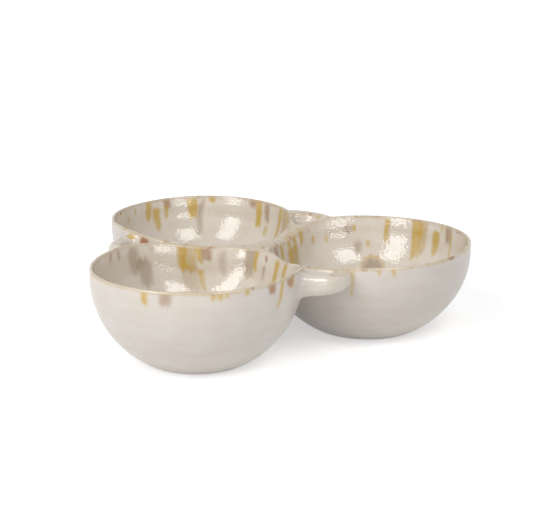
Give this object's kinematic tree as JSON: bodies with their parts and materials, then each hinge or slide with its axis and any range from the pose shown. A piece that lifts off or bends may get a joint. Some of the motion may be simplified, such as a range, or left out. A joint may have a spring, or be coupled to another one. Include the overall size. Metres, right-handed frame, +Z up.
{
  "type": "divided serving bowl",
  "caption": "Stoneware serving dish of round bowls pressed together in a triangle, with a strap handle across each outer notch and a speckled pale glaze.",
  "frame": {"origin": "on the table, under the middle of the whole piece's box", "axes": "+Z up; -Y towards the picture's camera, where the front bowl is; +X towards the right bowl"},
  "size_m": [0.2262, 0.238, 0.0565],
  "materials": {
    "bowl_glaze": "glossy",
    "handle_glaze": "glossy",
    "joint_glaze": "glossy"
  },
  "bodies": {
    "root": {"front_bowl": "bowl_glaze", "back_bowl": "bowl_glaze", "right_bowl": "bowl_glaze", "front_handle": "handle_glaze", "left_handle": "handle_glaze", "rear_handle": "handle_glaze", "front_back_seam": "joint_glaze", "front_right_seam": "joint_glaze", "back_right_seam": "joint_glaze", "centre_plug": "joint_glaze"}
  },
  "joints": []
}
